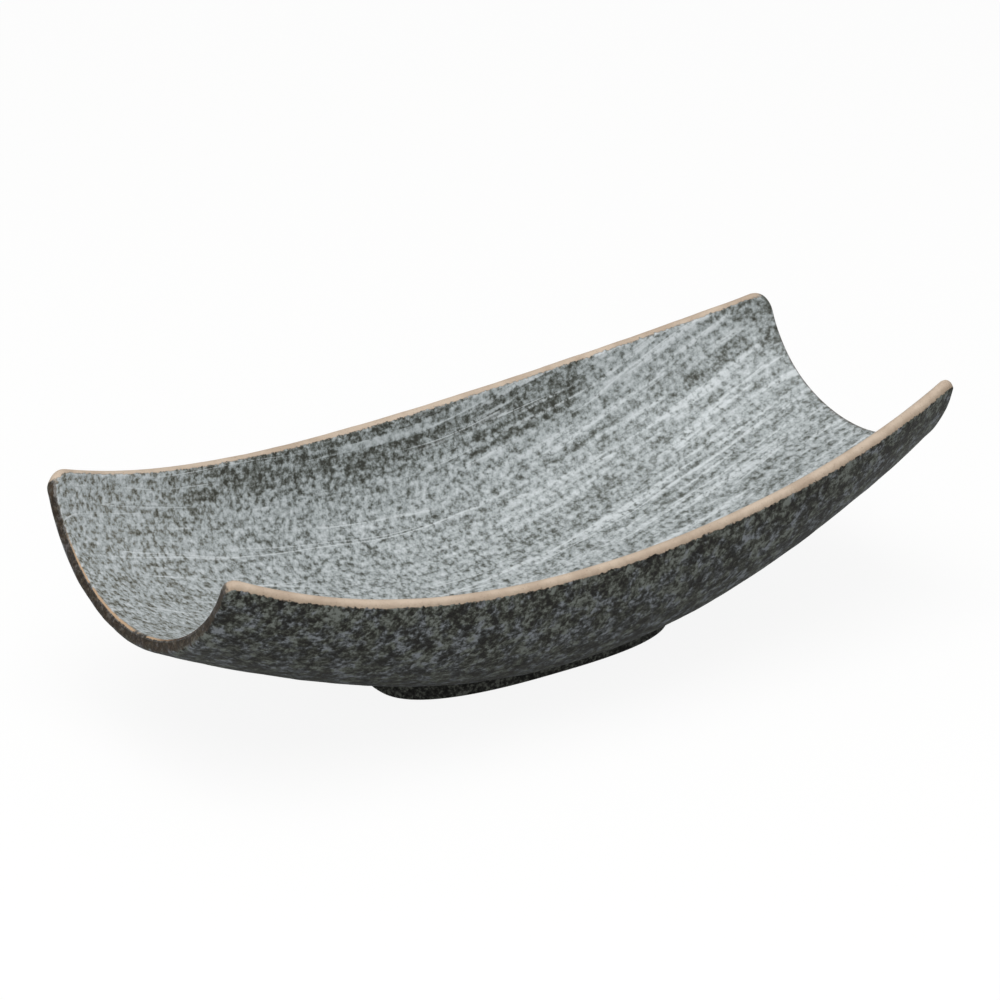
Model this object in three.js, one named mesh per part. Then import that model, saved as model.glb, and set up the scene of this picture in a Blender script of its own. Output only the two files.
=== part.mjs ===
// A boat-shaped stoneware serving dish: a trough with open, raised ends, and the foot ring luted under it.
// Millimetres. X runs along the dish, Y across it and Z up from the table; left is -X.
import * as THREE from 'three';

// Trough, measured to the middle of the wall.
const halfLength = 141;
const wall = 5;
const leftEndBow = 3;
const rightEndBow = 0.7;

// Half the width between the two long lips. The dish is a little narrower at its right end.
const lipHalfWidthLeft = 53.2;
const lipHalfWidthMiddle = 69.5;
const lipHalfWidthRight = 49.4;
const lipFullnessWidth = 2.5;
const lipLeanWidth = 1;

// Height of the lips over the table. The lean moves their lowest point to the left of the middle.
const lipHeightEnd = 81.8;
const lipHeightMiddle = 60.6;
const lipFullnessHeight = -4.9;
const lipLeanHeight = -6.6;

// The underside along the centre line: its clearance over the table, and its rise to each end.
const undersideClearance = 6.2;
const floorRiseLeft = 35;
const floorRiseRight = 37.6;
const floorFullnessHeight = 8.2;
const floorLeanHeight = -4;

// Cross-section: 0 is a parabola, 1 an ellipse and more is boxier. The wall isn't quite upright at the lip.
const sectionBoxinessLeft = 1.03;
const sectionBoxinessMiddle = 1.58;
const sectionBoxinessRight = 1.2;
const lipSteepness = THREE.MathUtils.degToRad(76);

// Softened edges of the end faces, inside and outside.
const innerEdgeRadius = 0.9;
const outerEdgeRadius = 2;

// The corners where a lip meets an end are rounded by hand, each differently, and the right end's near
// corner stands out furthest.
const nearLeftCornerRadius = 5;
const nearRightCornerRadius = 4;
const farLeftCornerRadius = 9.5;
const farRightCornerRadius = 7;
const nearRightCornerReach = 1.7;

// Foot ring: an oval, set slightly to the right of the middle.
const footHalfLength = 55.6;
const footHalfWidth = 22.5;
const footSquareness = 2.6;
const footOffset = 4;
const footWall = 5;
const footOuterFlare = 1.2;
const footInnerFlare = 2;
const footEdgeRadius = 1.2;
const joinGap = 0.3;

// Facets.
const lengthSteps = 34;
const crossSteps = 28;
const lipSteps = 6;
const cornerSteps = 7;
const footSteps = 64;
const footEdgeSteps = 3;

// A smooth value along the dish, from its two ends and its middle. Fullness swells the quarters and
// lean shifts them.
function alongDish(u, left, middle, right, fullness, lean) {
  const square = u * u;
  const base = middle * (1 - square) + (left + right) / 2 * square + (right - left) / 2 * u;
  return base + fullness * square * (1 - square) + lean * (u * square - u);
}

// How far an end stands out past the dish's half length, at a place across it: -1 is the near lip, 1 the far.
function endReach(u, across) {
  const bowed = 1 - across * across;
  if (u < 0) {
    return leftEndBow * bowed;
  }
  return rightEndBow * bowed + nearRightCornerReach * ((1 - across) / 2) ** 3;
}

// A point on the middle of the wall: u runs from end to end and v from the near lip to the far lip, both
// from -1 to 1.
function midWall(u, v) {
  const halfWidth = alongDish(
    u, lipHalfWidthLeft, lipHalfWidthMiddle, lipHalfWidthRight, lipFullnessWidth, lipLeanWidth);
  const lip = alongDish(u, lipHeightEnd, lipHeightMiddle, lipHeightEnd, lipFullnessHeight, lipLeanHeight);
  const floorMiddle = undersideClearance + wall / 2;
  const floorLeft = floorMiddle + floorRiseLeft;
  const floorRight = floorMiddle + floorRiseRight;
  const floor = alongDish(u, floorLeft, floorMiddle, floorRight, floorFullnessHeight, floorLeanHeight);
  const boxiness = alongDish(u, sectionBoxinessLeft, sectionBoxinessMiddle, sectionBoxinessRight, 0, 0);
  const rise = (angle) => (1 - boxiness) * Math.sin(angle) ** 2 + boxiness * (1 - Math.cos(angle));
  const across = Math.sin(v * lipSteepness) / Math.sin(lipSteepness);
  return new THREE.Vector3(
    u * (halfLength + endReach(u, across)),
    halfWidth * across,
    floor + (lip - floor) * rise(v * lipSteepness) / rise(lipSteepness));
}

// The same point with its two directions along the surface and the normal that faces into the trough.
function wallFrame(u, v) {
  const small = 1e-4;
  const slope = (a, b) => a.sub(b).divideScalar(2 * small);
  const along = slope(midWall(u + small, v), midWall(u - small, v));
  const across = slope(midWall(u, v + small), midWall(u, v - small));
  const normal = along.clone().cross(across).normalize();
  return { point: midWall(u, v), along, across, normal };
}

// How far a rounded edge has drawn back at a distance from the edge.
function drawBack(distance, radius) {
  const inside = Math.max(radius - distance, 0);
  return radius - Math.sqrt(radius * radius - inside * inside);
}

// One closed section of the wall: the inside, the far lip, the outside and the near lip.
function wallSection(u, fromEnd) {
  const innerHalf = wall / 2 - drawBack(fromEnd, innerEdgeRadius);
  const outerHalf = wall / 2 - drawBack(fromEnd, outerEdgeRadius);
  const lipHalf = (innerHalf + outerHalf) / 2;
  const lastV = (side, cornerRadius) => {
    const lipLength = wallFrame(u, side).across.length();
    return side * (1 - (wall / 2 + drawBack(fromEnd, cornerRadius)) / lipLength);
  };
  const nearV = lastV(-1, u < 0 ? nearLeftCornerRadius : nearRightCornerRadius);
  const farV = lastV(1, u < 0 ? farLeftCornerRadius : farRightCornerRadius);
  const inside = [];
  const outside = [];
  for (let i = 0; i <= crossSteps; i++) {
    const { point, normal } = wallFrame(u, nearV + (farV - nearV) * i / crossSteps);
    inside.push(point.clone().addScaledVector(normal, innerHalf));
    outside.push(point.clone().addScaledVector(normal, -outerHalf));
  }
  const lip = (side, v) => {
    const { point, across, normal } = wallFrame(u, v);
    const upwards = across.normalize().multiplyScalar(side);
    const arc = [];
    for (let i = 1; i < lipSteps; i++) {
      const angle = Math.PI * i / lipSteps;
      const reach = Math.cos(angle) * (Math.cos(angle) > 0 ? innerHalf : outerHalf);
      const lift = Math.sin(angle) * lipHalf;
      arc.push(point.clone().addScaledVector(normal, reach).addScaledVector(upwards, lift));
    }
    return arc;
  };
  return [...inside, ...lip(1, farV), ...outside.reverse(), ...lip(-1, nearV).reverse()];
}

// Triangles between neighbouring rings of points, which close round themselves.
function ringFaces(ringCount, ringSize, closed) {
  const faces = [];
  const last = closed ? ringCount : ringCount - 1;
  for (let i = 0; i < last; i++) {
    const here = i * ringSize;
    const next = ((i + 1) % ringCount) * ringSize;
    for (let j = 0; j < ringSize; j++) {
      const k = (j + 1) % ringSize;
      faces.push(here + j, next + j, next + k, here + j, next + k, here + k);
    }
  }
  return faces;
}

// The face of an open end: strips from the inner edge to the outer edge, and the lip's two small fans.
function endFaces(first, flip) {
  const faces = [];
  const ringSize = 2 * (crossSteps + lipSteps);
  const outer = (i) => crossSteps + lipSteps + (crossSteps - i);
  for (let i = 0; i < crossSteps; i++) {
    faces.push([i, i + 1, outer(i + 1)], [i, outer(i + 1), outer(i)]);
  }
  for (let i = 0; i < lipSteps - 1; i++) {
    faces.push([crossSteps, crossSteps + i + 1, crossSteps + i + 2]);
    const near = outer(0) + i;
    faces.push([0, near, near + 1]);
  }
  return faces.flatMap((face) => (flip ? face.reverse() : face).map((i) => first + i % ringSize));
}

function solid(points, faces) {
  const geometry = new THREE.BufferGeometry().setFromPoints(points);
  geometry.setIndex(faces);
  geometry.computeVertexNormals();
  return geometry;
}

// The sections of an end, from its face to where its rounder corner is done, closer together at the face.
function endSections(side, nearRadius, farRadius) {
  const radius = Math.max(nearRadius, farRadius);
  const scale = wallFrame(side, 1).along.length();
  const sections = [];
  for (let i = 0; i < cornerSteps; i++) {
    const fromEnd = radius * (1 - Math.cos(Math.PI / 2 * i / cornerSteps));
    sections.push(wallSection(side * (1 - fromEnd / scale), fromEnd));
  }
  return { sections, radius, innermostU: side * (1 - radius / scale) };
}

function troughGeometry() {
  const left = endSections(-1, nearLeftCornerRadius, farLeftCornerRadius);
  const right = endSections(1, nearRightCornerRadius, farRightCornerRadius);
  const sections = left.sections;
  for (let i = 0; i <= lengthSteps; i++) {
    const u = left.innermostU + (right.innermostU - left.innermostU) * i / lengthSteps;
    sections.push(wallSection(u, Math.max(left.radius, right.radius)));
  }
  sections.push(...right.sections.reverse());
  const ringSize = sections[0].length;
  const faces = [
    ...ringFaces(sections.length, ringSize, false),
    ...endFaces(0, false),
    ...endFaces((sections.length - 1) * ringSize, true),
  ];
  return solid(sections.flat(), faces);
}

// Height of the trough's underside over a point of the table, found by walking over the surface to it.
function undersideAt(x, y) {
  let u = x / halfLength;
  let v = y / lipHalfWidthMiddle;
  let height = 0;
  for (let i = 0; i < 12; i++) {
    const { point, along, across, normal } = wallFrame(u, v);
    point.addScaledVector(normal, -wall / 2);
    u += (x - point.x) / along.x;
    v += (y - point.y) / across.y;
    height = point.z;
  }
  return height;
}

// A point of the foot's oval outline, drawn in by an inset.
function footOutline(angle, inset) {
  const power = (value) => Math.sign(value) * Math.abs(value) ** (2 / footSquareness);
  return [
    footOffset + (footHalfLength - inset) * power(Math.cos(angle)),
    (footHalfWidth - inset) * power(Math.sin(angle)),
  ];
}

// The foot ring: a flat rest with softened edges, walls that flare upwards and a top that follows the trough.
function footGeometry() {
  const softened = [];
  for (let i = 0; i <= footEdgeSteps; i++) {
    const angle = Math.PI / 2 * i / footEdgeSteps;
    softened.push([footEdgeRadius * (1 - Math.cos(angle)), footEdgeRadius * (1 - Math.sin(angle))]);
  }
  const innerEdge = softened.map(([inset, height]) => [footWall - inset, height]);
  const outerEdge = softened.reverse();
  const topInsets = [-footOuterFlare, footWall / 2, footWall + footInnerFlare];
  const points = [];
  for (let i = 0; i < footSteps; i++) {
    const angle = 2 * Math.PI * i / footSteps;
    for (const inset of topInsets) {
      const [x, y] = footOutline(angle, inset);
      points.push(new THREE.Vector3(x, y, undersideAt(x, y) - joinGap));
    }
    for (const [inset, height] of [...innerEdge, ...outerEdge]) {
      points.push(new THREE.Vector3(...footOutline(angle, inset), height));
    }
  }
  return solid(points, ringFaces(footSteps, points.length / footSteps, true));
}

const trough = new THREE.Mesh(
  troughGeometry(),
  new THREE.MeshStandardMaterial({ color: '#6f7775', roughness: 0.6, metalness: 0 }));
trough.name = 'dish_body';

const foot = new THREE.Mesh(
  footGeometry(),
  new THREE.MeshStandardMaterial({ color: '#2b2927', roughness: 0.65, metalness: 0 }));
foot.name = 'foot_ring';

// The dish is centred between its two ends.
const dish = new THREE.Group();
dish.add(trough, foot);
const box = new THREE.Box3().setFromObject(trough);
dish.position.x = -(box.min.x + box.max.x) / 2;

export default dish;
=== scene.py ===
import math
from functools import partial
from types import SimpleNamespace

import bpy
import numpy as np
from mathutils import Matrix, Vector, noise


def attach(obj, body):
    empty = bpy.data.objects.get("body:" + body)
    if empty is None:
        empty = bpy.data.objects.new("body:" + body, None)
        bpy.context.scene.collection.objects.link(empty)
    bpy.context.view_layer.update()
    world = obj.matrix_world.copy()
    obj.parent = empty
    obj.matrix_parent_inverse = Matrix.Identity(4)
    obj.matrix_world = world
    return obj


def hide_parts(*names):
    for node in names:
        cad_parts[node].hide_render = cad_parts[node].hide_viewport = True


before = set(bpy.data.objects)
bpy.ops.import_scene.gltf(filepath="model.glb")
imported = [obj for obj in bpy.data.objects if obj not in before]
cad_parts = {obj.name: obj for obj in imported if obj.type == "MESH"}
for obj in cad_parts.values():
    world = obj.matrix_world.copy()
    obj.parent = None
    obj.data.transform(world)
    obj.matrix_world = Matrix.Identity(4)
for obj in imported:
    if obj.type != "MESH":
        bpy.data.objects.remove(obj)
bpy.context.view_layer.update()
print("frame loaded:", ", ".join(sorted(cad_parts)))

mm = 0.001


# sRGB hex to the linear colour that Blender works in
def linear(code):
    channels = [int(code[i:i + 2], 16) / 255 for i in (1, 3, 5)]
    return tuple(c / 12.92 if c < 0.04045 else ((c + 0.055) / 1.055) ** 2.4 for c in channels) + (1,)


# Adds a node and returns the chosen output, or all of them where out is None. Inputs are values, hex colours
# or outputs of other nodes, in order or by name. A ramp is a list of (position, hex) stops.
def addNode(tree, kind, inputs=(), out=0, ramp=(), **settings):
    node = tree.nodes.new("ShaderNode" + kind)
    for name, value in settings.items():
        setattr(node, name, value)
    for socket, value in inputs.items() if isinstance(inputs, dict) else enumerate(inputs):
        if isinstance(value, bpy.types.NodeSocket):
            tree.links.new(value, node.inputs[socket])
        else:
            node.inputs[socket].default_value = linear(value) if isinstance(value, str) else value
    if ramp:
        stops = node.color_ramp.elements
        while len(stops) < len(ramp):
            stops.new(0.5)
        for stop, (position, colour) in zip(stops, ramp):
            stop.position = position
            stop.color = linear(colour)
    return node.outputs if out is None else node.outputs[out]


# the dish
# Lengths in mm, left is -X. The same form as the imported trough, at a finer grain.
dish = {
    "halfLength": 141,
    "wall": 5,
    "leftEndBow": 3,
    "rightEndBow": 0.7,
    "lipHalfWidth": (53.2, 69.5, 49.4),       # left end, middle, right end
    "lipFullnessWidth": 2.5,
    "lipLeanWidth": 1,
    "lipHeight": (81.8, 60.6, 81.8),
    "lipFullnessHeight": -4.9,
    "lipLeanHeight": -6.6,                    # moves the lowest point of the lips to the left
    "undersideClearance": 6.2,
    "floorRise": (35, 37.6),                  # of the centre line, to the left and the right end
    "floorFullnessHeight": 8.2,
    "floorLeanHeight": -4,
    "boxiness": (1.03, 1.58, 1.2),            # 0 is a parabola, 1 an ellipse, more is boxier
    "lipSteepness": math.radians(76),
    "innerEdgeRadius": 0.9,
    "outerEdgeRadius": 2,
    "nearCornerRadius": (5, 4),               # left end, right end
    "farCornerRadius": (9.5, 7),
    "nearRightReach": 1.7,                    # how much further that corner stands out
    "lengthSteps": 236,                       # about 1.2 mm
    "crossSteps": 148,
    "lipSteps": 16,                           # about 0.5 mm
    "cornerSteps": 14,
    "endFaceSteps": 4,
    "skin": 0.04,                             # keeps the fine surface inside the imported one
    # relief: where its noise starts, then the wavelength and depth of each layer
    "outerBumps": (7, ((9, 0.36), (3.6, 0.16))),      # the pressed and glazed outside
    "innerBumps": (3, ((11, 0.14),)),
    "lipWaves": (11, ((34, 0.14), (9, 0.05))),        # the lips are trimmed and sponged by hand
    "outsideTurn": (60, 150),                 # degrees round the lip over which the outside's bumps take over
    "lipTurn": ((10, 45), (140, 172)),        # and over which the lip's waves come and go
    "wavesFromEnd": (2, 5),
    "endFacePlace": (0, 90, 20, -1),          # across, turn, from the lip and from the end, on an end face
    "bumpsFromLip": (10, 30),                 # past these the outside's bumps go both ways
    "bumpsFromEnd": (4, 20),
    "clayStep": 0.08,                         # how far the bare lips lie under the glaze
    "brushSweep": (30, 0.27),                 # past this far to the left the strokes close in, by this share
    "sweepLength": 100,                       # over this length more
}


# a smooth value along the dish from its two ends and its middle
def alongDish(u, ends, fullness=0, lean=0):
    left, middle, right = ends
    square = u * u
    base = middle * (1 - square) + (left + right) / 2 * square + (right - left) / 2 * u
    return base + fullness * square * (1 - square) + lean * (u * square - u)


# middle of the wall: u from end to end, v from the near lip to the far lip, both -1 to 1
def midWall(u, v):
    halfWidth = alongDish(u, dish["lipHalfWidth"], dish["lipFullnessWidth"], dish["lipLeanWidth"])
    lip = alongDish(u, dish["lipHeight"], dish["lipFullnessHeight"], dish["lipLeanHeight"])
    floorMiddle = dish["undersideClearance"] + dish["wall"] / 2
    floorEnds = (floorMiddle + dish["floorRise"][0], floorMiddle, floorMiddle + dish["floorRise"][1])
    floor = alongDish(u, floorEnds, dish["floorFullnessHeight"], dish["floorLeanHeight"])
    boxiness = alongDish(u, dish["boxiness"])
    steep = dish["lipSteepness"]

    def rise(angle):
        return (1 - boxiness) * np.sin(angle) ** 2 + boxiness * (1 - np.cos(angle))

    across = np.sin(v * steep) / np.sin(steep)
    if u < 0:
        reach = dish["leftEndBow"] * (1 - across ** 2)
    else:
        reach = dish["rightEndBow"] * (1 - across ** 2) + dish["nearRightReach"] * ((1 - across) / 2) ** 3
    return np.stack((
        u * (dish["halfLength"] + reach),
        halfWidth * across,
        floor + (lip - floor) * rise(v * steep) / rise(steep)), axis=-1)


def unit(vectors):
    return vectors / np.linalg.norm(vectors, axis=-1, keepdims=True)


# the same point with its directions along and across, and the normal that faces into the trough
def wallFrame(u, v):
    small = 1e-4
    along = (midWall(u + small, v) - midWall(u - small, v)) / (2 * small)
    across = (midWall(u, v + small) - midWall(u, v - small)) / (2 * small)
    return midWall(u, v), along, across, unit(np.cross(along, across))


# how far a rounded edge has drawn back at a distance from the edge
def drawBack(distance, radius):
    inside = max(radius - distance, 0)
    return radius - math.sqrt(radius ** 2 - inside ** 2)


# one closed section of the wall: inside, far lip, outside, near lip
def wallSection(u, fromEnd):
    innerHalf = dish["wall"] / 2 - drawBack(fromEnd, dish["innerEdgeRadius"])
    outerHalf = dish["wall"] / 2 - drawBack(fromEnd, dish["outerEdgeRadius"])
    end = 0 if u < 0 else 1
    lastV = []
    for side, radii in ((-1.0, dish["nearCornerRadius"]), (1.0, dish["farCornerRadius"])):
        lipLength = np.linalg.norm(wallFrame(u, np.array([side]))[2])
        lastV.append(side * (1 - (dish["wall"] / 2 + drawBack(fromEnd, radii[end])) / lipLength))
    point, along, across, normal = wallFrame(u, np.linspace(*lastV, dish["crossSteps"] + 1))
    angle = np.pi * np.arange(1, dish["lipSteps"]) / dish["lipSteps"]
    reach = np.cos(angle) * np.where(np.cos(angle) > 0, innerHalf, outerHalf)
    lift = np.sin(angle) * (innerHalf + outerHalf) / 2
    lips = []
    for side in (0, -1):
        upwards = unit(across[side]) * (1 if side else -1)
        lips.append(point[side] + normal[side] * reach[:, None] + upwards * lift[:, None])
    near, far = lips
    inside, outside = point + normal * innerHalf, point - normal * outerHalf
    return np.concatenate((inside, far, outside[::-1], near[::-1]))


# stations along the dish, as (u, distance from the nearer end), closer together at the rounded ends
def stations():
    radii = [max(pair) for pair in zip(dish["nearCornerRadius"], dish["farCornerRadius"])]
    scale = [np.linalg.norm(wallFrame(end, np.array([1.0]))[1]) for end in (-1, 1)]
    close = [1 - math.cos(math.pi / 2 * i / dish["cornerSteps"]) for i in range(dish["cornerSteps"])]
    middle = np.linspace(-1 + radii[0] / scale[0], 1 - radii[1] / scale[1], dish["lengthSteps"] + 1)
    return ([(-1 + radii[0] * c / scale[0], radii[0] * c) for c in close] + [(u, max(radii)) for u in middle]
            + [(1 - radii[1] * c / scale[1], radii[1] * c) for c in reversed(close)])


# Where each point lies on the surface: along the dish, round the section from the centre line, degrees round
# the lip (0 inside, 180 outside), from the nearer lip and from the nearer end.
def surfacePlaces(rings):
    count, ringSize = rings.shape[:2]
    cross, lip = dish["crossSteps"], dish["lipSteps"]
    along = np.concatenate((np.zeros((1, ringSize)),
                            np.cumsum(np.linalg.norm(np.diff(rings, axis=0), axis=-1), axis=0)))
    fromEnd = np.minimum(along, along[-1] - along)
    along = along - along[count // 2]
    closed = np.concatenate((rings, rings[:, :1]), axis=1)
    steps = np.linalg.norm(np.diff(closed, axis=1), axis=-1)
    around = np.concatenate((np.zeros((count, 1)), np.cumsum(steps, axis=1)), axis=1)
    girth = around[:, -1:]
    around = around[:, :-1]
    centre = around[:, cross // 2][:, None]
    across = (around - centre + girth / 2) % girth - girth / 2
    crests = [around[:, i][:, None] for i in (cross + lip // 2, 2 * cross + lip + lip // 2)]
    fromLip = np.min([np.minimum(np.abs(around - c), girth - np.abs(around - c)) for c in crests], axis=0)
    turn = np.zeros(ringSize)
    turn[cross:cross + lip + 1] = np.linspace(0, 180, lip + 1)
    turn[cross + lip:2 * cross + lip + 1] = 180
    turn[2 * cross + lip:] = np.linspace(180, 0, lip + 1)[:-1]
    turn = np.tile(turn, (count, 1))
    return np.stack((along, across, turn, fromLip, fromEnd), axis=-1).reshape(-1, 5)


# quads between neighbouring rings of points, which close round themselves
def ringFaces(count, ringSize, closed):
    faces = []
    for i in range(count if closed else count - 1):
        here, ahead = i * ringSize, (i + 1) % count * ringSize
        for j in range(ringSize):
            k = (j + 1) % ringSize
            faces.append((here + j, ahead + j, ahead + k, here + k))
    return faces


# strips of quads across an open end between the inside and the outside of its ring, and a face for each lip,
# with the points between them, which are numbered from firstNew
def endCap(ring, first, firstNew, flip):
    cross, lip, steps = dish["crossSteps"], dish["lipSteps"], dish["endFaceSteps"]
    faces, extra, columns = [], [], []
    for inner in range(cross + 1):
        outer = cross + lip + (cross - inner)
        column = [first + inner]
        for k in range(1, steps):
            column.append(firstNew + len(extra))
            extra.append((ring[inner] * (steps - k) + ring[outer] * k) / steps)
        columns.append(column + [first + outer])
    for a, b in zip(columns, columns[1:]):
        faces += [(a[k], b[k], b[k + 1], a[k + 1]) for k in range(steps)]
    farLip = [first + i for i in range(cross, cross + lip + 1)]
    nearLip = [first + i % len(ring) for i in range(2 * cross + lip, 2 * cross + 2 * lip + 1)]
    faces.append(tuple(farLip + columns[-1][-2:0:-1]))
    faces.append(tuple(nearLip + columns[0][1:-1]))
    return [face[::-1] if flip else face for face in faces], extra


def meshObject(name, points, faces):
    mesh = bpy.data.meshes.new(name)
    mesh.from_pydata(points, [], faces)
    mesh.validate()
    mesh.shade_smooth()
    piece = bpy.data.objects.new(name, mesh)
    bpy.context.scene.collection.objects.link(piece)
    return piece


# moves the points of a piece inwards along their normals, by depths in mm
def pressIn(piece, points, depth):
    normals = np.zeros(len(points) * 3, np.float32)
    piece.data.vertices.foreach_get("normal", normals)
    points = points - normals.reshape(-1, 3) * depth[:, None]
    piece.data.vertices.foreach_set("co", (points * mm).ravel().astype(np.float32))
    piece.data.update()


def storeValues(piece, name, kind, values):
    attribute = piece.data.attributes.new(name, kind, "POINT")
    attribute.data.foreach_set("value" if kind == "FLOAT" else "vector", np.ravel(values).astype(np.float32))


# depth of smooth bumps at a point, always inwards
def bumps(point, relief):
    start, layers = relief
    return sum(depth * (0.5 + 0.5 * noise.noise(Vector(point) / length + Vector((start, 0, 0))))
               for length, depth in layers)


def smoothStep(value, low, high):
    t = np.clip((value - low) / (high - low), 0, 1)
    return t * t * (3 - 2 * t)


def makeDishBody():
    rings = np.array([wallSection(u, fromEnd) for u, fromEnd in stations()])
    count, ringSize = rings.shape[:2]
    faces = ringFaces(count, ringSize, False)
    points = rings.reshape(-1, 3)
    places = surfacePlaces(rings)
    for ring, side in ((0, -1), (count - 1, 1)):
        capFaces, extra = endCap(rings[ring], ring * ringSize, len(points), side > 0)
        faces += capFaces
        points = np.concatenate((points, extra))
        places = np.concatenate((places, [(side * dish["halfLength"], *dish["endFacePlace"])] * len(extra)))
    along, across, turn, fromLip, fromEnd = places.T
    fromFoot = fromFootOutline(points)
    centreX = (points[:, 0].min() + points[:, 0].max()) / 2
    points = points - (centreX, 0, 0)         # centred between the two ends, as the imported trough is
    piece = meshObject("dishBody", points * mm, faces)

    # relief: bumps of the clay, waves along the trimmed lips, and luting clay smoothed up round the foot
    outward = smoothStep(turn, *dish["outsideTurn"])
    rising, falling = dish["lipTurn"]
    onLip = smoothStep(turn, *rising) * (1 - smoothStep(turn, *falling)) * smoothStep(
        fromEnd, *dish["wavesFromEnd"])
    swell = sum(depth for length, depth in dish["outerBumps"][1]) / 2
    free = outward * smoothStep(fromLip, *dish["bumpsFromLip"]) * smoothStep(fromEnd, *dish["bumpsFromEnd"])
    height, reach = foot["fillet"]
    fillet = height * outward * np.clip(1 - fromFoot / reach, 0, 1) ** 2 * (fromFoot > -foot["filletUnder"])
    depth = np.array([
        dish["skin"] + bumps(p, dish["innerBumps"]) * (1 - o) + bumps(p, dish["outerBumps"]) * o
        - swell * f + bumps(p, dish["lipWaves"]) * c + dish["clayStep"] * c
        for p, o, f, c in zip(points, outward, free, onLip)])
    pressIn(piece, points, depth - fillet)

    # where the finishes find each point; the brush's strokes close in towards the left end
    start, sweep = dish["brushSweep"]
    closing = 1 + sweep * (np.maximum(-along - start, 0) / dish["sweepLength"]) ** 2
    storeValues(piece, "dishMap", "FLOAT_VECTOR", places[:, :3])
    brushed = np.stack((along, across * closing, np.zeros(len(along))), axis=-1)
    storeValues(piece, "brushMap", "FLOAT_VECTOR", brushed)
    storeValues(piece, "fromLip", "FLOAT", fromLip)
    storeValues(piece, "fromEnd", "FLOAT", fromEnd)
    storeValues(piece, "fromFoot", "FLOAT", fromFoot)
    return piece, centreX


# the foot
# An oval ring luted under the trough. Lengths in mm.
foot = {
    "halfLength": 55.6,
    "halfWidth": 22.5,
    "squareness": 2.6,
    "offset": 4,
    "wall": 5,
    "outerFlare": 1.2,
    "innerFlare": 2,
    "flareCurve": 2.2,                        # 1 is a straight flare, more is hollow
    "edgeRadius": 1.2,
    "lutingDepth": 0.9,                       # the top sinks this far into the trough's own bumpy surface
    "steps": 330,                             # about 1 mm
    "wallSteps": 14,
    "edgeSteps": 5,
    "bumps": (5, ((7, 0.16), (2.4, 0.08))),
    "bumpsFrom": (0.5, 2.5),                  # heights over which they start, above the flat rest
    "skin": 0.05,
    "fillet": (1.2, 4),                       # height and reach of the luting clay smoothed round its top
    "filletUnder": 1,                         # the clay goes on this far inside the outline, in the ring
}


# how far points are outside the foot's outline, seen from below
def fromFootOutline(points):
    x = np.abs(points[:, 0] - foot["offset"])
    y = np.abs(points[:, 1])
    power = foot["squareness"]
    oval = ((x / foot["halfLength"]) ** power + (y / foot["halfWidth"]) ** power) ** (1 / power)
    return np.hypot(x, y) * (1 - 1 / np.maximum(oval, 1e-6))


# height of the trough's underside over a point of the table, found by walking over the surface
def undersideAt(x, y):
    u, v = x / dish["halfLength"], y / dish["lipHalfWidth"][1]
    for _ in range(12):                       # it has settled long before
        point, along, across, normal = (a[0] for a in wallFrame(u, np.array([v])))
        point = point - normal * dish["wall"] / 2
        u += (x - point[0]) / along[0]
        v += (y - point[1]) / across[1]
    return point[2]


def footOutline(angle, inset):
    def power(value):
        return math.copysign(abs(value) ** (2 / foot["squareness"]), value)
    return (foot["offset"] + (foot["halfLength"] - inset) * power(math.cos(angle)),
            (foot["halfWidth"] - inset) * power(math.sin(angle)))


# one side of the ring at an angle, from the rest up to the trough; side is 1 outside and -1 inside
def footWall(angle, side):
    edgeAt = 0 if side > 0 else foot["wall"]
    flare = foot["outerFlare"] if side > 0 else foot["innerFlare"]
    radius = foot["edgeRadius"]
    rim = [(radius * (1 - math.sin(a)), radius * (1 - math.cos(a)))
           for a in np.linspace(0, math.pi / 2, foot["edgeSteps"] + 1)]
    top = undersideAt(*footOutline(angle, edgeAt - side * flare)) + foot["lutingDepth"]
    profile = [(edgeAt + side * inset, height) for inset, height in rim]
    for t in np.linspace(0, 1, foot["wallSteps"] + 1)[1:]:
        profile.append((edgeAt - side * flare * t ** foot["flareCurve"], radius + (top - radius) * t))
    return [(*footOutline(angle, inset), height) for inset, height in profile]


def makeFootRing():
    angles = [2 * math.pi * i / foot["steps"] for i in range(foot["steps"])]
    points = np.array([footWall(angle, 1)[::-1] + footWall(angle, -1) for angle in angles])
    faces = [(a, d, c, b) for a, b, c, d in ringFaces(*points.shape[:2], True)]
    points = points.reshape(-1, 3) - (centreX, 0, 0)
    piece = meshObject("footRing", points * mm, faces)
    raised = smoothStep(points[:, 2], *foot["bumpsFrom"])
    pressIn(piece, points, np.array([foot["skin"] * r + bumps(p, foot["bumps"]) * r
                                     for p, r in zip(points, raised)]))
    return piece


dishBody, centreX = makeDishBody()
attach(dishBody, "root")
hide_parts("dish_body")
print("dish body made:", len(dishBody.data.polygons), "faces")

footRing = makeFootRing()
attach(footRing, "root")
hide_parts("foot_ring")
print("foot ring made:", len(footRing.data.polygons), "faces")


# the finishes
# Colours as they show in plain light. Lengths in mm: a noise's scale is 1 over the size of its grain, and two
# bounds (a, b) mean nothing at a and all at b, with a soft change between.
soft = {"interpolation_type": "SMOOTHSTEP"}   # for a MapRange between two bounds
times = {"operation": "MULTIPLY"}
timesPlus = {"operation": "MULTIPLY_ADD"}     # the first times the second, plus the third
plus = {"operation": "ADD"}
minus = {"operation": "SUBTRACT"}
larger = {"operation": "MAXIMUM"}
colourMix = {"data_type": "RGBA", "out": 2}   # for a Mix of colours, which are its inputs 6 and 7
satin = {"IOR": 1.5, "Specular IOR Level": 0.25}      # the index of a glaze, with half the usual gloss


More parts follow.
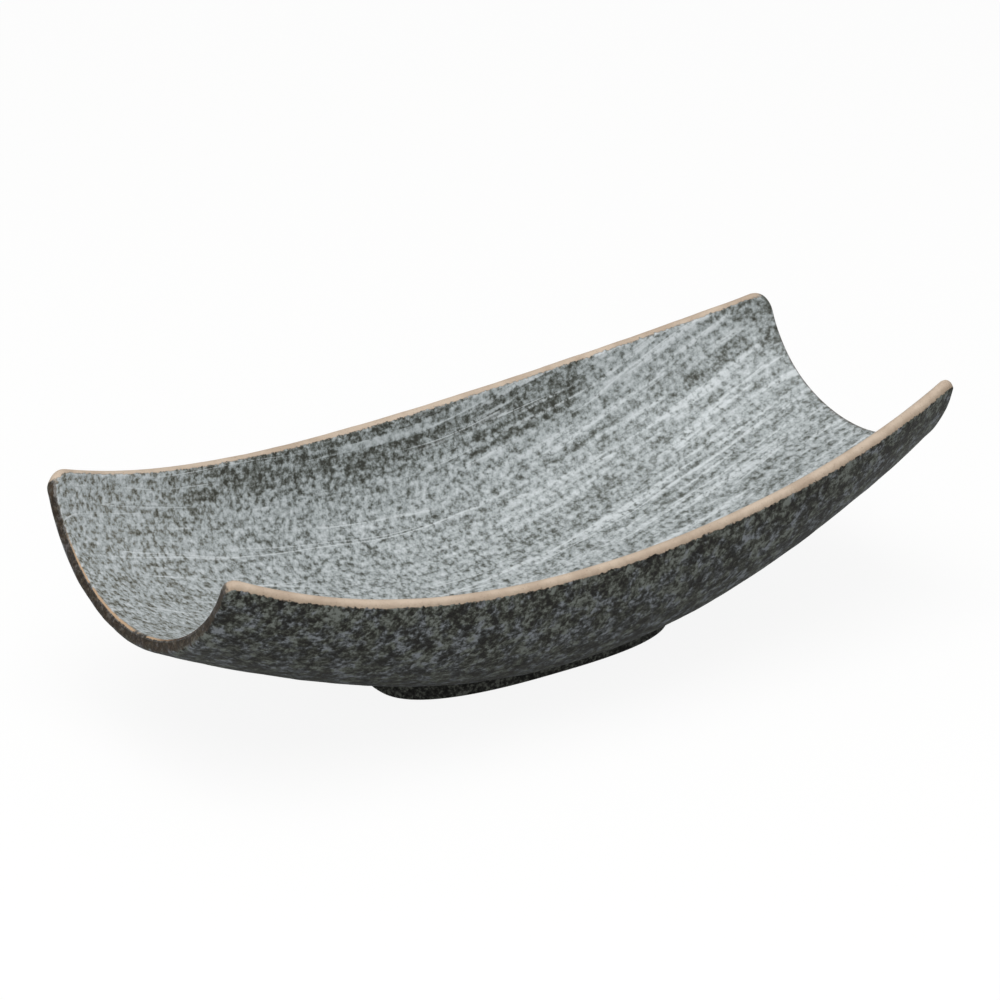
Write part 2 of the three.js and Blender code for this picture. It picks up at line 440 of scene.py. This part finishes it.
# several factors multiplied; one given as (field, a, b) is eased between those bounds first
def product(add, *factors):
    result = None
    for factor in factors:
        if isinstance(factor, tuple):
            factor = add("MapRange", factor, **soft)
        result = factor if result is None else add("Math", (result, factor), **times)
    return result


# a tone plus several fields about 0.5, each given with its weight
def blended(add, tone, layers):
    for field, weight in layers:
        swing = add("Math", (add("Math", (field, 0.5), **minus), weight), **times)
        tone = add("Math", (tone, swing), **plus)
    return tone


# Inside: white slip brushed lengthwise over the dark glaze. The eye sees streaks that run with the dish, and
# dark flecks where the coat is thin.
slip = {
    "tones": [(0.2, "#3b3c36"), (0.34, "#646864"), (0.47, "#909696"), (0.58, "#aab0b1"), (0.72, "#bec3c5"),
              (0.88, "#d0d5d7")],
    "roughness": (0.42, 0.66),                # thin, thick
    # all strokes sway together
    "sway": {"length": 60, "width": 30, "reach": 5, "noise": {"Detail": 1, "Roughness": 0.55}},
    # marks of the brush: length, width, the noise's detail and roughness, and where it starts
    "marks": {
        "hairs": (60, 1.1, 2, 0.5, (0, 0, 0)),
        "streaks": (42, 2.4, 2, 0.5, (5, 1, 0)),
        "strokes": (95, 4.5, 2, 0.5, (3, 7, 0)),
        "bristles": (110, 5, 1, 0.55, (9, 4, 0)),
    },
    "markRelief": 0.5,
    "flecks": {"Scale": 1 / 1.8, "Detail": 4, "Roughness": 0.66},
    "mottle": {"Scale": 1 / 5.5, "Detail": 2, "Roughness": 0.5},
    "fleckWeight": (1.4, -0.25),              # and what the thick coat takes off it
    "mottleWeight": 0.34,
    "hairWeight": 0.16,
    "strokeWeight": (0.12, 0.4),              # and what the well brushed part adds
    "streakWeight": (0.05, 0.4),
    "coat": 0.513,                            # its place on the tones
    "rightward": {"along": (-10, 85), "coat": 0.01},
    "upperSide": {"across": (-10, 60), "share": (0.45, 0.55)},    # strokes show most on the far, upper side
    # under the far lip the slip is thin
    "thinBand": {"deep": (24.5, 11.5), "sway": 26, "fray": 16, "left": (-115, -65), "right": (84, 60),
                 "farSide": (0, 10), "coat": (-0.14, -0.045), "thinnest": (-40, 10)},
    # the brush misses the right end's far corner, and lifts a little all along that end
    "missedCorner": {"edge": (190, 197), "slant": 0.8, "fray": 30, "coat": -0.13},
    "lifting": {"fromEnd": (7, 1), "coat": -0.035},
    # one broad stroke leaves the far lip, runs down from it to the left and thins out
    "broadStroke": {"fromLip": 8, "slope": (5.5, 5, 52), "fray": 2.5, "breadth": (0.4, 1.6),
                    "widens": (-35, 15), "edge": (1.3, 0.6), "farSide": (40, 60), "left": (-45, -20),
                    "right": (62, 45), "coat": 0.21},
    # to the left the iron of the clay shows brown through the thin coat
    "warmth": {"colour": "#ffeed8", "along": (-40, -130), "tone": (0.5, 0.38), "share": 0.5},
    # the brush leaves paler streaks where it is loaded, and single bristles draw long fine lines
    "lines": {"colour": "#ced3d5", "share": 0.7, "strokes": 0.5, "loaded": (0.79, 0.9),
              "loadedFlecks": (0.36, 0.56), "bristle": (0.02, 0.006), "bristleStrokes": (0.5, 0.6),
              "bristleFlecks": (0.28, 0.48)},
}


# the slow sway of the strokes, and the noises of the brush in the order of slip's marks
def brushMarks(add):
    brushed = add("Attribute", attribute_name="brushMap", out="Vector")
    sway = slip["sway"]
    where = add("Mapping", {"Vector": brushed, "Scale": (1 / sway["length"], 1 / sway["width"], 0)})
    wave = add("Math", (add("TexNoise", {"Vector": where, "Scale": 1, **sway["noise"]}), 0.5), **minus)
    aside = add("CombineXYZ", {"Y": add("Math", (wave, sway["reach"]), **times)})
    bent = add("VectorMath", (brushed, aside), **plus)
    marks = []
    for length, width, detail, roughness, start in slip["marks"].values():
        where = add("Mapping", {"Vector": bent, "Scale": (1 / length, 1 / width, 0), "Location": start})
        marks.append(add("TexNoise", {"Vector": where, "Scale": 1, "Detail": detail, "Roughness": roughness}))
    return wave, marks


# how thick the slip lies before flecks and marks, with the masks that the rest needs
def slipCoat(add, at, sway, hairs, strokes):
    rightward = add("MapRange", (at.along, *slip["rightward"]["along"]), **soft)
    coat = add("Math", (rightward, slip["rightward"]["coat"], slip["coat"]), **timesPlus)

    band = slip["thinBand"]
    deep = add("Math", (sway, band["sway"], at.fromLip), **timesPlus)
    deep = add("Math", (add("Math", (strokes, 0.5), **minus), band["fray"], deep), **timesPlus)
    thin = product(add, (deep, *band["deep"]), (at.along, *band["left"]), (at.along, *band["right"]),
                   (at.across, *band["farSide"]))
    thinner, thinnest = band["coat"]
    change = add("MapRange", (at.along, *band["thinnest"]), **soft)
    change = add("Math", (change, thinnest, thinner), **timesPlus)
    coat = add("Math", (thin, change, coat), **timesPlus)

    corner = slip["missedCorner"]
    reach = add("Math", (at.across, corner["slant"], at.along), **timesPlus)
    reach = add("Math", (strokes, corner["fray"], reach), **timesPlus)
    missed = add("MapRange", (reach, *corner["edge"]), **soft)
    coat = add("Math", (missed, corner["coat"], coat), **timesPlus)
    lifting = product(add, rightward, (at.fromEnd, *slip["lifting"]["fromEnd"]))
    coat = add("Math", (lifting, slip["lifting"]["coat"], coat), **timesPlus)

    broad = slip["broadStroke"]
    slope, *bounds = broad["slope"]
    drift = add("Math", (at.fromLip, broad["fromLip"]), **minus)
    drift = add("Math", (add("MapRange", (at.along, *bounds), **soft), slope, drift), **timesPlus)
    drift = add("Math", (add("Math", (hairs, 0.5), **minus), broad["fray"], drift), **timesPlus)
    narrow, widening = broad["breadth"]
    breadth = add("MapRange", (at.along, *broad["widens"]), **soft)
    breadth = add("Math", (breadth, widening, narrow), **timesPlus)
    drift = add("Math", (add("Math", (drift,), operation="ABSOLUTE"), breadth), operation="DIVIDE")
    stroke = product(add, (drift, *broad["edge"]), (at.across, *broad["farSide"]), (at.along, *broad["left"]),
                     (at.along, *broad["right"]))
    coat = add("Math", (stroke, broad["coat"], coat), **timesPlus)
    return coat, rightward, stroke, add("Math", (1, missed), **minus)


# colour, roughness and relief of the inside
def brushedSlip(add, at):
    sway, marks = brushMarks(add)
    hairs, streaks, strokes, bristles = marks
    coat, rightward, stroke, painted = slipCoat(add, at, sway, hairs, strokes)

    upper = add("MapRange", (at.across, *slip["upperSide"]["across"]), **soft)
    lowest, more = slip["upperSide"]["share"]
    wellBrushed = product(add, rightward, add("Math", (upper, more, lowest), **timesPlus))
    swept = 0
    for mark, (least, more) in ((strokes, slip["strokeWeight"]), (streaks, slip["streakWeight"])):
        weight = add("Math", (wellBrushed, more, least), **timesPlus)
        swept = add("Math", (add("Math", (mark, 0.5), **minus), weight, swept), **timesPlus)
    tone = add("Math", (swept, painted, coat), **timesPlus)
    flecks = add("TexNoise", {"Vector": at.place, **slip["flecks"]})
    mottle = add("TexNoise", {"Vector": at.place, **slip["mottle"]})
    most, less = slip["fleckWeight"]
    fleckWeight = add("Math", (add("Math", (rightward, stroke), **larger), less, most), **timesPlus)
    tone = blended(add, tone, (
        (flecks, fleckWeight), (mottle, slip["mottleWeight"]), (hairs, slip["hairWeight"])))

    body = add("ValToRGB", (tone,), ramp=slip["tones"])
    warmth = slip["warmth"]
    warm = product(add, (at.along, *warmth["along"]), (tone, *warmth["tone"]), warmth["share"])
    body = add("Mix", {0: warm, 6: body, 7: warmth["colour"]}, blend_type="MULTIPLY", **colourMix)
    lines = slip["lines"]
    loaded = add("Math", (strokes, lines["strokes"], streaks), **timesPlus)
    loaded = product(add, (loaded, *lines["loaded"]), rightward, (flecks, *lines["loadedFlecks"]),
                     lines["share"])
    bristle = add("Math", (add("Math", (bristles, 0.5), **minus),), operation="ABSOLUTE")
    bristle = product(add, (bristle, *lines["bristle"]), (strokes, *lines["bristleStrokes"]),
                      (flecks, *lines["bristleFlecks"]), lines["share"])
    pale = product(add, add("Math", (loaded, bristle), **larger), painted)
    body = add("Mix", {0: pale, 6: body, 7: lines["colour"]}, **colourMix)
    rough = add("MapRange", (tone, 0, 1, *slip["roughness"]))
    return body, rough, add("Math", (hairs, slip["markRelief"], tone), **timesPlus)


# Outside: granite glaze, dipped. The eye sees charcoal with blue-grey mist and black-brown specks, blacker
# and more olive under the lips.
granite = {
    "cool": [(0.2, "#0d0d0b"), (0.36, "#232422"), (0.48, "#3f4242"), (0.6, "#585c5e"), (0.78, "#858a90")],
    "olive": [(0.2, "#0e0d09"), (0.36, "#23231d"), (0.48, "#3d3f39"), (0.6, "#535750"), (0.78, "#777c77")],
    "roughness": (0.4, 0.7),                  # dark, pale
    # each noise with its weight in the tone
    "grains": (({"Scale": 1 / 1.35, "Detail": 4, "Roughness": 0.7}, 1.3),
               ({"Scale": 1 / 3.2, "Detail": 2, "Roughness": 0.55}, 0.85),
               ({"Scale": 1 / 7.5, "Detail": 2, "Roughness": 0.5}, 0.5)),
    # two distances from the lip, and the contrast and the tone at each
    "contrast": (5, 60, 1.45, 0.95),
    "tone": (2, 12, 0.485, 0.518),
    "paintedFootShade": {"fromFoot": (32, 14), "tone": -0.16},              # painted shade: darker round the foot, where the belly turns down into shadow
    "brown": {"Scale": 1 / 4.5, "Detail": 1, "Roughness": 0.55},
    "olivePart": {"fromLip": (18, 2), "more": 0.09, "edge": (0.42, 0.58)},
}


# colour, roughness and relief of the outside
def graniteGlaze(add, at):
    grains = [(add("TexNoise", {"Vector": at.place, **grain}), weight) for grain, weight in granite["grains"]]
    tone = blended(add, 0, grains)
    contrast = add("MapRange", (at.fromLip, *granite["contrast"]))
    tone = add("Math", (tone, contrast, add("MapRange", (at.fromLip, *granite["tone"]))), **timesPlus)
    # painted shade: the glaze's tone drops towards the foot, where the belly faces down
    paintedFootShade = add("MapRange", (at.fromFoot, *granite["paintedFootShade"]["fromFoot"]), **soft)
    tone = add("Math", (paintedFootShade, granite["paintedFootShade"]["tone"], tone), **timesPlus)
    cool, olive = [add("ValToRGB", (tone,), ramp=granite[name]) for name in ("cool", "olive")]
    part = granite["olivePart"]
    nearLip = add("MapRange", (at.fromLip, *part["fromLip"]), **soft)
    brown = add("TexNoise", {"Vector": at.place, **granite["brown"]})
    brown = add("Math", (nearLip, part["more"], brown), **timesPlus)
    brown = add("MapRange", (brown, *part["edge"]), **soft)
    body = add("Mix", {0: brown, 6: cool, 7: olive}, **colourMix)
    return body, add("MapRange", (tone, 0, 1, *granite["roughness"])), tone


# Lips: bare stoneware clay, wiped and sponged. The eye sees matt warm tan with fine sand in it.
clay = {
    "colour": "#c4b3a1",
    "shade": "#b3a18f",
    "edge": "#8a7966",                        # painted shade on the lip's outer, downward-facing side, turned away from the light
    "sandColour": "#4a3424",
    "cloud": {"Scale": 1 / 9, "Detail": 2, "Roughness": 0.55},
    "cloudEdge": (0.35, 0.68),
    "sand": {"Scale": 1 / 0.5, "Detail": 2, "Roughness": 0.6},    # coarser than real sand, so that it shows
    "sandEdge": (0.58, 0.75),
    "sandShare": 0.35,
    "sandRelief": 0.4,
    "roughness": (0.8, 0.1),                  # and how much the clouds vary it
}


# colour, roughness and relief of bare clay, with painted shade on the lip's outer side where it is asked for
def bareClay(add, place, paintedLipShade):
    cloud = add("TexNoise", {"Vector": place, **clay["cloud"]})
    sand = add("TexNoise", {"Vector": place, **clay["sand"]})
    shade = add("MapRange", (cloud, *clay["cloudEdge"]), **soft)
    body = add("Mix", {0: shade, 6: clay["colour"], 7: clay["shade"]}, **colourMix)
    body = add("Mix", {0: paintedLipShade, 6: body, 7: clay["edge"]}, **colourMix)
    grit = product(add, (sand, *clay["sandEdge"]), clay["sandShare"])
    body = add("Mix", {0: grit, 6: body, 7: clay["sandColour"]}, **colourMix)
    roughness, vary = clay["roughness"]
    return (body, add("Math", (cloud, vary, roughness), **timesPlus),
            add("Math", (sand, clay["sandRelief"]), **times))


# Where the coats meet. Turn is in degrees round the lip, 0 inside and 180 outside.
seams = {
    "ragged": {"Scale": 1 / 1.4, "Detail": 3, "Roughness": 0.75},
    "slow": {"Scale": 1 / 16, "Detail": 1, "Roughness": 0.55},
    "wander": (62, 12),                       # degrees by which the two noises move the seams
    "outside": (60, 64),
    "clayFrom": (22, 30),
    "clayTo": (164, 156),
    "clayEdge": (2.6, 4.2),                   # from the end
    "clayFray": 5,
    "shortAtFar": (4, -1),                    # bare clay stops short of the far corners, less at the left
    "middle": 5,                              # left and right, near and far blend this far about the middle
    # painted shade: the outer half of each lip, which faces away from the light, is darkened
    "paintedLipShade": {"turn": (95, 165), "share": 0.55},
    # thin brown glaze along the ends' edges, less on the lips, and darker on the end faces
    "byEnd": {"colour": "#4a3c2e", "fromEnd": (2.4, 0.8), "fray": 6, "onLip": 4, "share": 0.7},
    "lipTurns": ((5, 40), (175, 140)),
    "atEnd": {"colour": "#1d1812", "fromEnd": (1.3, 0.3), "fray": 3, "specks": (0.09, -0.03), "share": 0.65},
    # the glaze breaks to tan and rust along the inner arris of the left end
    "arris": {"colour": "#b2977b", "rust": "#4a3424", "fray": 1.6, "inner": (0.1, 0.4), "outer": (2.1, 1.2),
              "turn": (30, 10), "across": (52, 38), "grain": {"Scale": 1 / 7, "Detail": 2, "Roughness": 0.6},
              "broken": (0.33, 0.42), "tanFrom": (-32, -10), "wander": 60},
    "clayDrop": -1,
    "relief": 0.25,
}


def newMaterial(name):
    material = bpy.data.materials.new(name)
    material.use_nodes = True
    material.node_tree.nodes.clear()
    return material, partial(addNode, material.node_tree)


# a surface with relief of the given depth in mm
def surface(add, colour, rough, height, relief):
    bump = add("Bump", {"Height": height, "Strength": 1, "Distance": relief * mm})
    shader = add("BsdfPrincipled", {"Base Color": colour, "Roughness": rough, "Normal": bump, **satin})
    add("OutputMaterial", {"Surface": shader}, out=None)


def placeInMm(add):
    return add("Mapping", {"Vector": add("TexCoord", out="Object"), "Scale": (1 / mm,) * 3})


# fired stoneware, brushed with slip inside, dipped in granite glaze outside, its lips wiped bare
def glazedStoneware():
    material, add = newMaterial("stonewareBrushedSlipAndGraniteGlaze")
    dishMap = add("Attribute", attribute_name="dishMap", out="Vector")
    along, across, turn = add("SeparateXYZ", (dishMap,), out=None)
    distances = {name: add("Attribute", attribute_name=name, out="Fac")
                 for name in ("fromLip", "fromEnd", "fromFoot")}
    at = SimpleNamespace(place=placeInMm(add), along=along, across=across, **distances)
    ragged, slow = [add("Math", (add("TexNoise", {"Vector": at.place, **seams[name]}), 0.5), **minus)
                    for name in ("ragged", "slow")]
    fast, gentle = seams["wander"]
    wander = add("Math", (slow, gentle, add("Math", (ragged, fast), **times)), **timesPlus)
    wavyTurn = add("Math", (turn, wander), **plus)
    leftward = add("MapRange", (along, seams["middle"], -seams["middle"]), **soft)
    farSide = add("MapRange", (across, -seams["middle"], seams["middle"]), **soft)

    # painted shade darkens the outer half of each lip
    paintedLipShade = product(add, (wavyTurn, *seams["paintedLipShade"]["turn"]), seams["paintedLipShade"]["share"])
    coats = [brushedSlip(add, at), graniteGlaze(add, at), bareClay(add, at.place, paintedLipShade)]
    outside = add("MapRange", (wavyTurn, *seams["outside"]), **soft)
    atRight, less = seams["shortAtFar"]
    short = add("Math", (leftward, less, atRight), **timesPlus)
    pastEnd = add("Math", (at.fromEnd, product(add, farSide, short)), **minus)
    pastEnd = add("Math", (ragged, seams["clayFray"], pastEnd), **timesPlus)
    bare = product(add, (wavyTurn, *seams["clayFrom"]), (wavyTurn, *seams["clayTo"]),
                   (pastEnd, *seams["clayEdge"]))

    byEnd, atEnd, arris = seams["byEnd"], seams["atEnd"], seams["arris"]
    onLip = product(add, *((turn, *bounds) for bounds in seams["lipTurns"]))
    edge = add("Math", (ragged, byEnd["fray"], at.fromEnd), **timesPlus)
    edge = add("Math", (edge, add("Math", (onLip, byEnd["onLip"]), **times)), **minus)
    edge = product(add, (edge, *byEnd["fromEnd"]), byEnd["share"])
    face = add("Math", (ragged, atEnd["fray"], at.fromEnd), **timesPlus)
    face = product(add, (face, *atEnd["fromEnd"]), (ragged, *atEnd["specks"]), atEnd["share"])
    within = add("Math", (ragged, arris["fray"], at.fromEnd), **timesPlus)
    patches = add("TexNoise", {"Vector": at.place, **arris["grain"]})
    broken = product(add, (within, *arris["inner"]), (within, *arris["outer"]), (turn, *arris["turn"]),
                     leftward, (across, *arris["across"]), (patches, *arris["broken"]))
    tan = add("Math", (slow, arris["wander"], across), **timesPlus)
    tan = add("MapRange", (tan, *arris["tanFrom"]), **soft)
    glint = add("Mix", {0: tan, 6: arris["rust"], 7: arris["colour"]}, **colourMix)

    inner, outer, lips = coats
    colour = add("Mix", {0: outside, 6: inner[0], 7: outer[0]}, **colourMix)
    for share, over in ((edge, byEnd["colour"]), (face, atEnd["colour"]), (broken, glint), (bare, lips[0])):
        colour = add("Mix", {0: share, 6: colour, 7: over}, **colourMix)
    rough, height = [add("Mix", {0: bare, 2: add("Mix", {0: outside, 2: inner[i], 3: outer[i]}), 3: lips[i]})
                     for i in (1, 2)]
    height = add("Math", (bare, seams["clayDrop"], height), **timesPlus)
    surface(add, colour, rough, height, seams["relief"])
    return material


# Foot: the same clay under a thin, near-black glaze, its resting edge wiped bare. The eye sees dull black.
footGlaze = {
    "tones": [(0.3, "#0f0f0c"), (0.5, "#32332f"), (0.7, "#666962")],
    "roughness": 0.5,
    "grains": (({"Scale": 1 / 1.35, "Detail": 3, "Roughness": 0.65}, 1.6),
               ({"Scale": 1 / 7.5, "Detail": 2, "Roughness": 0.55}, 0.6)),
    "ragged": {"Scale": 1 / 1.8, "Detail": 3, "Roughness": 0.7},
    "fray": 0.9,
    "bareBelow": (0.3, 0.12),                 # height over the table
    "relief": 0.2,
}


def footStoneware():
    material, add = newMaterial("stonewareBlackGlazedFoot")
    place = placeInMm(add)
    height = add("SeparateXYZ", (place,), out=2)
    grains = [(add("TexNoise", {"Vector": place, **grain}), weight) for grain, weight in footGlaze["grains"]]
    specks = blended(add, 0.5, grains)
    colour = add("ValToRGB", (specks,), ramp=footGlaze["tones"])
    wiped = bareClay(add, place, 0)
    ragged = add("Math", (add("TexNoise", {"Vector": place, **footGlaze["ragged"]}), 0.5), **minus)
    height = add("Math", (ragged, footGlaze["fray"], height), **timesPlus)
    bare = add("MapRange", (height, *footGlaze["bareBelow"]), **soft)
    surface(add, add("Mix", {0: bare, 6: colour, 7: wiped[0]}, **colourMix),
            add("Mix", {0: bare, 2: footGlaze["roughness"], 3: wiped[1]}),
            add("Mix", {0: bare, 2: specks, 3: wiped[2]}), footGlaze["relief"])
    return material


dishBody.data.materials.append(glazedStoneware())
footRing.data.materials.append(footStoneware())
print("finishes made")


# the studio
# Lengths in metres.
studio = {
    "floor": "#b2b2b0",
    "floorSeen": "#f6f6f4",
    "floorSize": 9,
    "showsWhite": 0.9,                        # share of plain white that the camera sees on the floor
    "mirrorsWhite": 0.1,
    "fill": 0.5,
    "softbox": {"size": 1.6, "place": (-0.5, -0.4, 1.7), "power": 26},
    "side": {"size": 1.2, "place": (-0.9, -1.6, 0.8), "power": 9},
    "lens": 224.1,                            # mm
    "sensor": 36,                             # mm
    "clipEnd": 50,
    "azimuth": 34.53,                         # degrees
    "elevation": 23.16,
    "distance": 2.0108,
    "target": (-0.003207 - centreX * mm, 0, 0.0553),
}


def areaLamp(name, size, place, power):
    lamp = bpy.data.lights.new(name, "AREA")
    lamp.shape = "SQUARE"
    lamp.size = size
    lamp.energy = power
    holder = bpy.data.objects.new(name, lamp)
    holder.location = place
    holder.rotation_euler = (Vector(studio["target"]) - Vector(place)).to_track_quat("-Z", "Y").to_euler()
    bpy.context.scene.collection.objects.link(holder)


# a sweep of matt white paper, which the camera sees a little paler than it is
def makeFloor():
    half = studio["floorSize"] / 2
    corners = [(-half, -half, 0), (half, -half, 0), (half, half, 0), (-half, half, 0)]
    floor = meshObject("floor", corners, [(0, 1, 2, 3)])
    material, add = newMaterial("paperSweep")
    seen = add("LightPath", out=None)
    mirrored = add("Math", (seen["Is Glossy Ray"], seen["Is Transmission Ray"]), **larger)
    shows = add("Math", (add("Math", (seen["Is Camera Ray"], studio["showsWhite"]), **times),
                         add("Math", (mirrored, studio["mirrorsWhite"]), **times)), **larger)
    tint = add("Mix", {0: seen["Is Camera Ray"], 6: studio["floor"], 7: studio["floorSeen"]}, **colourMix)
    paper = add("BsdfDiffuse", {"Color": tint})
    white = add("Emission", {"Strength": 1})
    add("OutputMaterial", {"Surface": add("MixShader", (shows, paper, white))}, out=None)
    floor.data.materials.append(material)


# white where it is seen, and a dimmer fill light
def makeWorld():
    world = bpy.data.worlds.new("studioAir")
    world.use_nodes = True
    world.node_tree.nodes.clear()
    add = partial(addNode, world.node_tree)
    seen = add("LightPath", out=None)
    direct = add("Math", (seen["Is Camera Ray"], seen["Is Transmission Ray"]), **larger)
    strength = add("Math", (direct, 1 - studio["fill"], studio["fill"]), **timesPlus)
    add("OutputWorld", {"Surface": add("Background", {"Strength": strength})}, out=None)
    bpy.context.scene.world = world


def makeCamera():
    camera = bpy.data.cameras.new("camera")
    camera.lens = studio["lens"]
    camera.sensor_width = studio["sensor"]
    camera.clip_end = studio["clipEnd"]
    holder = bpy.data.objects.new("camera", camera)
    a, e = math.radians(studio["azimuth"]), math.radians(studio["elevation"])
    away = Vector((-math.sin(a) * math.cos(e), -math.cos(a) * math.cos(e), math.sin(e)))
    holder.location = Vector(studio["target"]) + away * studio["distance"]
    holder.rotation_euler = away.to_track_quat("Z", "Y").to_euler()
    bpy.context.scene.collection.objects.link(holder)
    bpy.context.scene.camera = holder


makeFloor()
makeWorld()
makeCamera()
areaLamp("softbox", **studio["softbox"])
areaLamp("side", **studio["side"])
bpy.context.scene.view_settings.view_transform = "Standard"
print("studio made")
